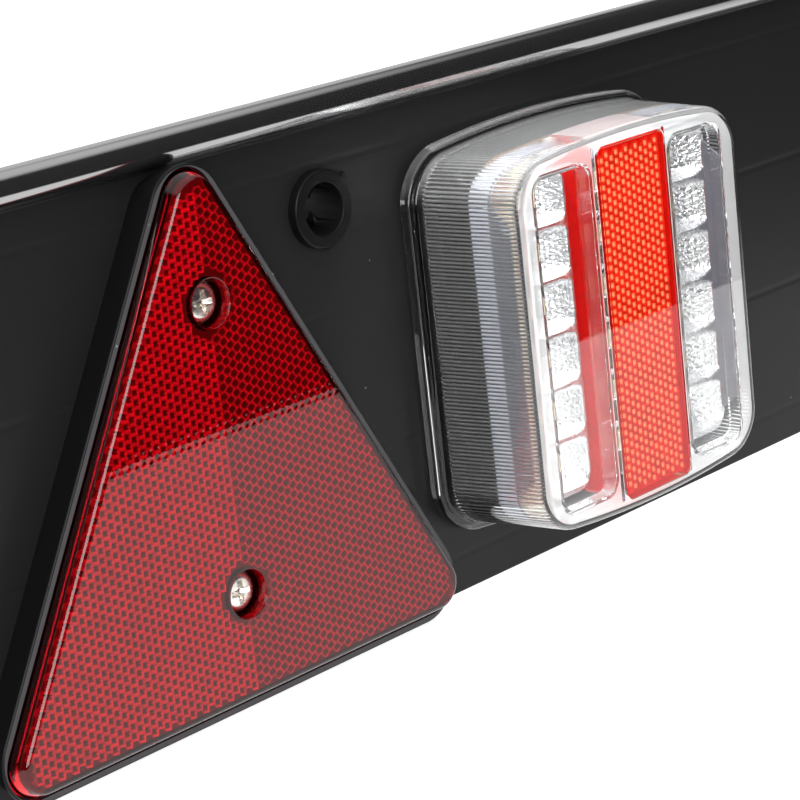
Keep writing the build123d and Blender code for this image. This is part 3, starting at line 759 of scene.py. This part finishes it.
def make_lens_screws():
    """A turned head and shank at each cup, less a tapered cross."""
    top = cup_floor + HEAD_RISE
    profile = [(SHANK_RADIUS, -SHANK_DEPTH), (SHANK_RADIUS, cup_floor), (HEAD_RADIUS, cup_floor)]
    profile += [(HEAD_RADIUS - inset, top - drop) for drop, inset in quarter_round(HEAD_ROUND)]
    flat = HEAD_RADIUS - HEAD_ROUND
    profile += [(flat * share, top + HEAD_CROWN * (1 - share**2)) for share in (0.75, 0.5, 0.25)]
    rings, bands, fills, cross = [], [], [], []
    for cup in cup_levels:
        first = len(rings)
        rings += [raise_ring(circle(radius, cup), rise, lens_foot) for radius, rise in profile]
        bands += loft_bands(first, len(rings))
        fills += [[first], [len(rings) - 1]]
        for rise, share in ((top - RECESS_DEPTH, RECESS_TAPER), (top + HEAD_CROWN, 1.05)):
            ring = cross_ring(RECESS_SPAN * share, RECESS_WIDTH * max(share, 0.7))
            cross.append(raise_ring(ring + (0, cup), rise, lens_foot))
    mesh = cut(shell("lens_screws", rings, bands, fills), bars("recess", cross))
    material = bright_metal("nickel_plate", (0.86, 0.84, 0.79), (0.22, 0.32))
    at_both_ends(mesh, "triangle_screws", "bright_steel", material)


make_lens_screws()


# Fixing bushes: black snap-in mouldings with a round flange, a bore, four sprung fingers behind the
# plank and a stub left by the mould at the edge of the flange.
BORE_RADIUS = 6.5
BUSH_RADIUS = 8.0
FLANGE_RADIUS = 9.8
FLANGE_RISE = 2.7
FLANGE_EDGE = 0.7
BORE_EDGE = 0.45
FINGER_LIP = 0.7
FINGER_LIP_LENGTH = 2.4
FINGER_SLOT = 2.2
FINGER_SLOT_LENGTH = 9.0
BUSH_GAP = 0.1
TAG_REACH = 1.6
TAG_WIDTH = 2.0
TAG_RISE = 1.2
TAG_ANGLE = 36.0


def turned_box(near, far, width, angle):
    """A rectangle from one distance to another along a direction, as a ring."""
    way = np.array((np.cos(np.radians(angle)), np.sin(np.radians(angle))))
    aside = np.array((-way[1], way[0])) * width / 2
    return np.array((near * way - aside, far * way - aside, far * way + aside, near * way + aside))


def make_bushes():
    """A turned ring section, closed on itself, with a stub, less the slots between the fingers."""
    hook = -plank_back - BUSH_GAP
    tail = hook - FINGER_LIP_LENGTH
    profile = [(BORE_RADIUS, tail), (BUSH_RADIUS, tail), (BUSH_RADIUS + FINGER_LIP, hook)]
    profile += [(BUSH_RADIUS, hook), (BUSH_RADIUS, 0.0), (FLANGE_RADIUS, 0.0)]
    profile += [(FLANGE_RADIUS - inset, FLANGE_RISE - drop) for drop, inset in quarter_round(FLANGE_EDGE)]
    profile += [(BORE_RADIUS + inset, FLANGE_RISE - drop) for inset, drop in quarter_round(BORE_EDGE)]
    rings = [raise_ring(circle(radius), rise) for radius, rise in profile]
    count = len(rings)
    bands = loft_bands(0, count) + [(count - 1, 0), (count, count + 1)]
    stub = turned_box(BUSH_RADIUS, FLANGE_RADIUS + TAG_REACH, TAG_WIDTH, TAG_ANGLE)
    rings += [raise_ring(stub, (FLANGE_RISE + way * TAG_RISE) / 2) for way in (-1, 1)]
    whole = shell("bush", rings, bands, [[count], [count + 1]])
    slots = [raise_ring(turned_box(0.5 * BORE_RADIUS, FLANGE_RADIUS, FINGER_SLOT, angle), rise)
             for angle in (45, 135, 225, 315) for rise in (tail - 1, tail + FINGER_SLOT_LENGTH)]
    mesh = cut(whole, bars("finger_slots", slots))
    at_both_ends(mesh, "fixing_bush", "black_moulding", black_moulding)


make_bushes()


# Lamp backs: a rubber gasket, a black base tray and the bolts, washers, nuts and cable grommets that
# hold it to the plank. These pieces keep their CAD solids.
def coat(node, material):
    """Give the left and right CAD nodes a material."""
    for side in ("left", "right"):
        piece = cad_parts[f"{side}_{node}"]
        piece.data.materials.clear()
        piece.data.materials.append(material)


rubber = black_plastic("black_rubber", 0.016, (0.6, 0.75), 1, 1500.0, 0.00002, 0.6)
steel = bright_metal("zinc_steel", (0.62, 0.62, 0.6), (0.28, 0.42))
coat("lamp_base", black_moulding)
for seal in ("lamp_gasket", "cable_grommet"):
    coat(seal, rubber)
for fastening in ("lamp_bolts", "lamp_washers", "lamp_nuts"):
    coat(fastening, steel)


# Circuit boards and LEDs: a brown laminate board across the lamp, with square white LED packages under
# yellow phosphor. The board's edge shows through the lamp's side.
LAMINATE_TONES = (0.16, 0.08, 0.03, 1), (0.26, 0.14, 0.07, 1)
PHOSPHOR_TONES = (0.85, 0.83, 0.75, 1), (0.9, 0.8, 0.45, 1)


def two_tone(name, tones, gloss, scale, detail):
    """A material between two tones by noise, which also varies its gloss."""
    material, tree, shader, place = principled(name)
    clouds = noise(tree, place, scale, detail)
    join(tree, shader, Base_Color=blend(tree, clouds, *tones), Roughness=span(tree, clouds, *gloss))
    return material


laminate = two_tone("circuit_laminate", LAMINATE_TONES, (0.35, 0.55), 900.0, 3.0)
phosphor = two_tone("led_phosphor", PHOSPHOR_TONES, (0.15, 0.3), 1200.0, 2.0)
coat("lamp_circuit_board", laminate)
coat("lamp_leds", phosphor)


# Reflector trays: white mouldings with a column of six square bowls on each side of the red box. The
# bowls are metallised, curve down to the LEDs and carry a net of small pillows that scatter the light.
TRAY_DEPTH = 7.0
TRAY_SHOULDER = 6.3
TRAY_FLOOR = 1.8
TRAY_CORNER = 5.5
BOWL_COUNT = 6
BOWL_WIDTH = 21.0
BOWL_RIM = 0.8
BOWL_SEAT = 6.4
BOWL_SLOPE = 0.3
SEAT_RISE = 0.05
PILLOW_COUNT = 18
PILLOW_TURNS = 3.6
PILLOW_HEIGHT = 0.1
BANK_INNER = 11.3
BANK_OUTER = 15.8
BANK_LIP = 5.5
LIP_SLOPE = 4.0
GRID_ACROSS = 91
GRID_UP = 281

tray_low, tray_high = cad_box("right_lamp_reflector_tray")
lamp_level = (tray_low[2] + tray_high[2]) / 2
circuit_top = -tray_high[1]
bank_height = tray_high[2] - tray_low[2]
bank_x = (tray_high[0] - tray_low[0]) / 2 - BOWL_WIDTH / 2 - BOWL_RIM
bowl_pitch = (bank_height - 2 * BOWL_RIM) / BOWL_COUNT


def bank_surface():
    """A bank's height over a grid that fills its rounded outline, about the column of LEDs. Each bowl
    rises from the seat to the rim with the distance and its square, a share of each. The pillows are two
    crossing waves in angle and distance. A lip stands on the outer rim and slopes down at the corners."""
    up = np.linspace(-bank_height / 2, bank_height / 2, GRID_UP)[:, None]
    into_corner = np.maximum(np.abs(up) - bank_height / 2 + TRAY_CORNER, 0)
    drawn_in = TRAY_CORNER - np.sqrt(TRAY_CORNER**2 - into_corner**2 + 1e-9)
    room = BANK_INNER + BANK_OUTER - 2 * drawn_in
    across = -BANK_INNER + drawn_in + np.linspace(0, 1, GRID_ACROSS) * room
    up = np.broadcast_to(up, across.shape)
    reach = np.where(across > 0, BANK_OUTER, BANK_INNER)
    index = np.clip(np.floor(up / bowl_pitch) + 0.5, -(BOWL_COUNT - 1) / 2, (BOWL_COUNT - 1) / 2)
    off = up - index * bowl_pitch
    mouth_half = (bowl_pitch - BOWL_RIM) / 2
    share_across = np.maximum(np.abs(across) - BOWL_SEAT / 2, 0) / (reach - BOWL_RIM - BOWL_SEAT / 2)
    share_up = np.maximum(np.abs(off) - BOWL_SEAT / 2, 0) / (mouth_half - BOWL_SEAT / 2)
    share = np.minimum((share_across**4 + share_up**4) ** 0.25, 1)
    edge = np.minimum(reach - drawn_in - np.abs(across), bank_height / 2 - np.abs(up)) / BOWL_RIM
    share = np.where(edge < 1, 1, share)
    angle = np.arctan2(off / mouth_half, across / reach)
    wave = sum(np.cos(PILLOW_COUNT * angle + way * 2 * np.pi * PILLOW_TURNS * share) for way in (-1, 1))
    bowl = BOWL_SLOPE * share + (1 - BOWL_SLOPE) * share**2
    height = TRAY_DEPTH * bowl + PILLOW_HEIGHT * wave * 4 * share * (1 - share)
    lip = np.clip((bank_height / 2 - TRAY_CORNER - np.abs(up)) / LIP_SLOPE, 0, 1)
    lip = np.where(across > BANK_OUTER - BOWL_RIM, lip, 0)
    return across, up, circuit_top + np.maximum(height, SEAT_RISE) + BANK_LIP * lip, lip > 0


def make_trays():
    """Both banks as grids with straight walls, and the floor that joins them. The lip and the walls above
    their shoulder are painted dark and the walls below it grey, as painted shade on the white moulding."""
    across, up, rise, lip = bank_surface()
    grid = np.arange(across.size).reshape(across.shape)
    quads = np.stack((grid[:-1, :-1], grid[:-1, 1:], grid[1:, 1:], grid[1:, :-1]), -1).reshape(-1, 4)
    border = np.concatenate((grid[0], grid[1:, -1], grid[-1, -2::-1], grid[-2:0:-1, 0]))
    points, faces, finish, count = [], [], [], 0
    for side in (-1, 1):
        bank = np.stack((side * (bank_x + across), -rise, up), -1).reshape(-1, 3)
        foot = bank[border] * (1, 0, 1) - (0, circuit_top, 0)
        shoulder = foot - (0, TRAY_SHOULDER, 0)
        lower = across.size + np.arange(len(border))
        walls = [band(border, lower), band(lower, lower + len(border))]
        points += [bank, shoulder, foot]
        faces += [quads + count] + [wall + count for wall in walls]
        finish += [1 + 2 * lip.ravel()[quads].any(1), np.full(len(border), 3), np.full(len(border), 2)]
        count += len(bank) + 2 * len(border)
    floor = np.array(((-1, -1), (1, -1), (1, 1), (-1, 1))) * (bank_x - BANK_INNER + 0.2, bank_height / 2)
    rings = [raise_ring(floor, circuit_top), raise_ring(floor, circuit_top + TRAY_FLOOR)]
    field = (np.concatenate(points), np.concatenate(faces), np.zeros((0, 2), int), np.concatenate(finish))
    mesh = shell("reflector_tray", rings, [(0, 1)], [[0], [1]], field, 50)
    materials = (cloudy_plastic("white_tray_floor", (0.8, 0.79, 0.78), 0.04, 0.0),
                 bright_metal("vacuum_metal", (0.8, 0.8, 0.81), (0.16, 0.26), 0.00022),
                 cloudy_plastic("painted_shade_tray_side", (0.36, 0.37, 0.43), 0.1, 0.0),
                 cloudy_plastic("painted_shade_tray_lip", (0.11, 0.11, 0.13), 0.1, 0.0))
    at_both_ends(mesh, "lamp_reflector_tray", "silvered_plastic", *materials, z=lamp_level)


make_trays()


# Reflex boxes: orange-red acrylic boxes, open behind, with cube-corner prisms under a smooth front that
# is flush with the lamp's cover.
BOX_WALL = 1.0
BOX_CORNER = 2.5
BOX_EDGE = 0.4
BOX_PRISM_MARGIN = 1.3
# Painted light and shade on the box's prisms: a pale painted highlight in each cell's middle, and painted
# shade, a darker red, at its corners.
BOX_SPOT = {"middle": (0.95, 0.8, 0.6), "corner": (0.42, 0.02, 0.012), "radius": 0.27, "blur": 0.09,
            "power": 2.0}

box_low, box_high = cad_box("right_lamp_reflex_insert")
box_width, box_height = box_high[0] - box_low[0], box_high[2] - box_low[2]
box_foot, lamp_rise = -box_high[1], -box_low[1]


def rounded_ring(width, height, corner, steps=13):
    """A rectangle with rounded corners, as a ring."""
    centres = np.array(((1, -1), (1, 1), (-1, 1), (-1, -1))) * (width / 2 - corner, height / 2 - corner)
    return np.concatenate([arc(centre, corner, 90 * turn - 90, 90 * turn, steps)
                           for turn, centre in enumerate(centres)])


def box_room(place):
    """True for places inside the box's front by the prism margin."""
    reach = np.array((box_width, box_height)) / 2 - BOX_PRISM_MARGIN
    return (np.abs(place) < reach).all(-1)


def make_reflex_boxes():
    """The outside with a small rounded front edge, the inside and the prism field. The inside is plain red
    apart from its upper end. The outside of that end is painted pale, as painted light from above."""
    plate_back = lamp_rise - PRISM_COVER - 2 * prism_step
    steps = [(box_foot, 0.0)] + [(lamp_rise - drop, inset) for drop, inset in quarter_round(BOX_EDGE)]
    rings = [raise_ring(rounded_ring(box_width - 2 * inset, box_height - 2 * inset, BOX_CORNER - inset), rise)
             for rise, inset in steps]
    outer = len(rings)
    inside = rounded_ring(box_width - 2 * BOX_WALL, box_height - 2 * BOX_WALL, 0.5)
    rings += [raise_ring(inside, box_foot), raise_ring(inside, plate_back)]
    bands = loft_bands(0, outer) + [(0, outer), (outer, outer + 1)]
    field = prism_field(box_room, 12, 30, lamp_rise, 0.0, (0, 0), (1, 1))
    mesh = shell("reflex_box", rings, bands, [[outer - 1], [outer + 1, "field"]], field, 30)
    finish, centre, normal = faces_of(mesh)
    off = np.abs(centre)
    within = (off[:, 0] < box_width / 2 - 0.9 * BOX_WALL) & (off[:, 2] < box_height / 2 - 0.9 * BOX_WALL)
    lining = within & (off[:, 1] < plate_back + 0.1) & (normal[:, 2] > -0.7) & (finish == 0)
    head = ~within & (normal[:, 2] > 0.7) & (off[:, 1] < lamp_rise - BOX_EDGE) & (finish == 0)
    mesh.polygons.foreach_set("material_index", np.where(lining, 2, np.where(head, 3, finish)))
    materials = (clear_plastic("orange_red_acrylic", (0.97, 0.22, 0.09), 1.49, 0.02),
                 cloudy_plastic("painted_light_orange_prisms", (0.6, 0.05, 0.03), 0.2, 0.5, BOX_SPOT),
                 cloudy_plastic("plain_red_lining", (0.6, 0.012, 0.012), 0.1, 0.3),
                 cloudy_plastic("painted_light_red_head", (0.5, 0.4, 0.4), 0.1, 0.2))
    at_both_ends(mesh, "lamp_reflex_insert", "orange_red_reflex", *materials, z=lamp_level, shadow=False)


make_reflex_boxes()


# Lamp covers: clear polycarbonate with a flange and skirt over the base, drafted walls fluted inside, a
# window for the red box with a collar behind it, and a rib round each bank of bowls.
LAMP_CORNER = 14.0
BOW_RADIUS = 330.0
GASKET = 1.5
LEDGE = 3.0
FLANGE_TOP = 4.5
COVER_STEP = 2.5
COVER_WALL = 2.0
SIDE_DRAFT = 3.6
END_DRAFT = 1.0
COVER_EDGE = 2.6
COVER_ROOT = 0.9
COVER_FLANGE_EDGE = 1.1
SKIRT = 1.5
WINDOW_RIB = 1.2
WINDOW_RIB_DEPTH = 4.0
WINDOW_RIB_EDGE = 0.4
WINDOW_CORNER = 5.0
WINDOW_MARGIN = 5.7
OPENING_GAP = 0.1
COLLAR_WALL = 1.2
COLLAR_DEPTH = 6.0
RIB_GAP = 0.2
FLUTE_DEPTH = 0.4
SIDE_FLUTES = 71
END_FLUTES = 67
CORNER_FLUTES = 14
FLUTE_STEPS = 8

cover_low, cover_high = cad_box("right_lamp_cover")
lamp_width, lamp_height = cover_high[0] - cover_low[0], cover_high[2] - cover_low[2]
ceiling = lamp_rise - COVER_WALL


def lamp_ring(width, height, corner, per_flute=1):
    """A rounded rectangle with a number of points for each flute round it. Every point draws in towards
    mid-height by the square of its distance from mid-width, so that the head and foot bow."""
    x, z = width / 2 - corner, height / 2 - corner
    starts = np.array(((width / 2, -z), (x, height / 2), (-width / 2, z), (-x, -height / 2)))
    ends = starts * ((1, -1), (-1, 1), (1, -1), (-1, 1))
    centres = ((x, z), (-x, z), (-x, -z), (x, -z))
    parts = []
    for turn in range(4):
        count = per_flute * (END_FLUTES if turn % 2 else SIDE_FLUTES)
        share = np.linspace(0, 1, count, endpoint=False)[:, None]
        bend = arc(centres[turn], corner, 90 * turn, 90 * turn + 90, per_flute * CORNER_FLUTES + 1)
        parts += [starts[turn] + share * (ends[turn] - starts[turn]), bend[:-1]]
    ring = np.concatenate(parts)
    return np.column_stack((ring[:, 0], ring[:, 1] * (1 - ring[:, 0] ** 2 / (BOW_RADIUS * height))))


def flange_ring(rise, inset):
    """The lamp's outline at the plank, drawn in by an inset."""
    return raise_ring(lamp_ring(lamp_width - 2 * inset, lamp_height - 2 * inset, LAMP_CORNER - inset), rise)


def wall_ring(rise, margin, per_flute=1):
    """The cover's drafted outline at a rise, drawn in by a margin."""
    lean = (rise - FLANGE_TOP) / (lamp_rise - FLANGE_TOP)
    inset = COVER_STEP + margin
    width = lamp_width - 2 * (inset + SIDE_DRAFT * lean)
    height = lamp_height - 2 * (inset + END_DRAFT * lean)
    return raise_ring(lamp_ring(width, height, LAMP_CORNER - inset, per_flute), rise)


def fluted_ring(rise, share):
    """The wall's inside: between the furrows it bulges inwards by a half sine, times a share."""
    plain, full = (wall_ring(rise, COVER_WALL + bulge, FLUTE_STEPS) for bulge in (0, FLUTE_DEPTH))
    wave = np.abs(np.sin(np.pi * np.arange(len(plain)) / FLUTE_STEPS))[:, None]
    return plain + (full - plain) * wave * share


def make_covers():
    """The outside from the skirt to the front, the opening, then the inside: collar bars, window ribs,
    fluted walls, ledge and skirt. Behind the front, the frame round the windows is satin."""
    rings = [flange_ring(GASKET, 0.0)]
    rings += [flange_ring(FLANGE_TOP - drop, inset) for drop, inset in quarter_round(COVER_FLANGE_EDGE)]
    rings += [wall_ring(FLANGE_TOP + rise, -spread) for spread, rise in quarter_round(COVER_ROOT)]
    rings += [wall_ring(lamp_rise - drop, inset) for drop, inset in quarter_round(COVER_EDGE)]
    outer = len(rings)
    bands = loft_bands(0, outer)
    opening = rounded_ring(box_width + 2 * OPENING_GAP, box_height + 2 * OPENING_GAP, BOX_CORNER)
    rings += [raise_ring(opening, lamp_rise), raise_ring(opening, ceiling)]
    bands.append((outer, outer + 1))
    fills = [[outer - 1, outer]]
    ceiling_holes = [outer + 1]

    window_height = lamp_height - 2 * (COVER_STEP + END_DRAFT + WINDOW_MARGIN)
    for side in (-1, 1):
        bar = rounded_ring(COLLAR_WALL, box_height, 0.3, 4)
        bar = bar + (side * (box_width / 2 + RIB_GAP + COLLAR_WALL / 2), 0)
        rings += [raise_ring(bar, ceiling), raise_ring(bar, ceiling - COLLAR_DEPTH)]
        count = len(rings)
        bands.append((count - 2, count - 1))
        fills.append([count - 1])
        ceiling_holes.append(count - 2)
        tip = ceiling - WINDOW_RIB_DEPTH
        edge = tip + WINDOW_RIB_EDGE
        outline = [(ceiling, 2 * WINDOW_RIB), (edge, 2 * WINDOW_RIB), (tip, WINDOW_RIB + WINDOW_RIB_EDGE),
                   (tip, WINDOW_RIB - WINDOW_RIB_EDGE), (edge, 0.0), (ceiling, 0.0)]
        for rise, grown in outline:
            corner = WINDOW_CORNER - WINDOW_RIB + grown / 2
            ring = rounded_ring(BOWL_WIDTH + grown, window_height - 2 * WINDOW_RIB + grown, corner)
            rings.append(raise_ring(ring + (side * (bank_x + RIB_GAP), 0), rise))
        bands += loft_bands(count, len(rings))
        ceiling_holes.append(count)
        fills.append([len(rings) - 1])

    first = len(rings)
    flute_rows = [(ceiling, 0.0), (ceiling - 0.5, 0.1), (ceiling - 0.8, 0.8), (ceiling - 1.2, 1.0),
                  (FLANGE_TOP + 1.6, 1.0), (FLANGE_TOP + 1.2, 0.8), (FLANGE_TOP + 0.9, 0.0), (LEDGE, 0.0)]
    rings += [fluted_ring(rise, share) for rise, share in flute_rows]
    bands += loft_bands(first, len(rings))
    fills.append([first] + ceiling_holes)
    ledge = len(rings)
    rings += [flange_ring(LEDGE, SKIRT), flange_ring(GASKET, SKIRT)]
    fills.append([ledge - 1, ledge])
    bands += [(ledge, ledge + 1), (ledge + 1, 0)]
    mesh = shell("lamp_cover", rings, bands, fills, None, 40)
    x, y, z = np.abs(faces_of(mesh)[1].T)
    over_bank = np.abs(x - bank_x - RIB_GAP) < BOWL_WIDTH / 2 - 0.1
    over_bank = over_bank & (z < window_height / 2 - WINDOW_RIB - 0.1)
    mesh.polygons.foreach_set("material_index", ((np.abs(y - ceiling) < 0.01) & ~over_bank).astype(int))
    materials = (clear_plastic("clear_polycarbonate", (0.97, 0.98, 0.98), 1.5, 0.01, 0.08),
                 clear_plastic("satin_polycarbonate", (0.95, 0.95, 0.95), 1.5, 0.25, clarity=0.66))
    at_both_ends(mesh, "lamp_cover", "clear_plastic", *materials, z=lamp_level, shadow=False)


make_covers()
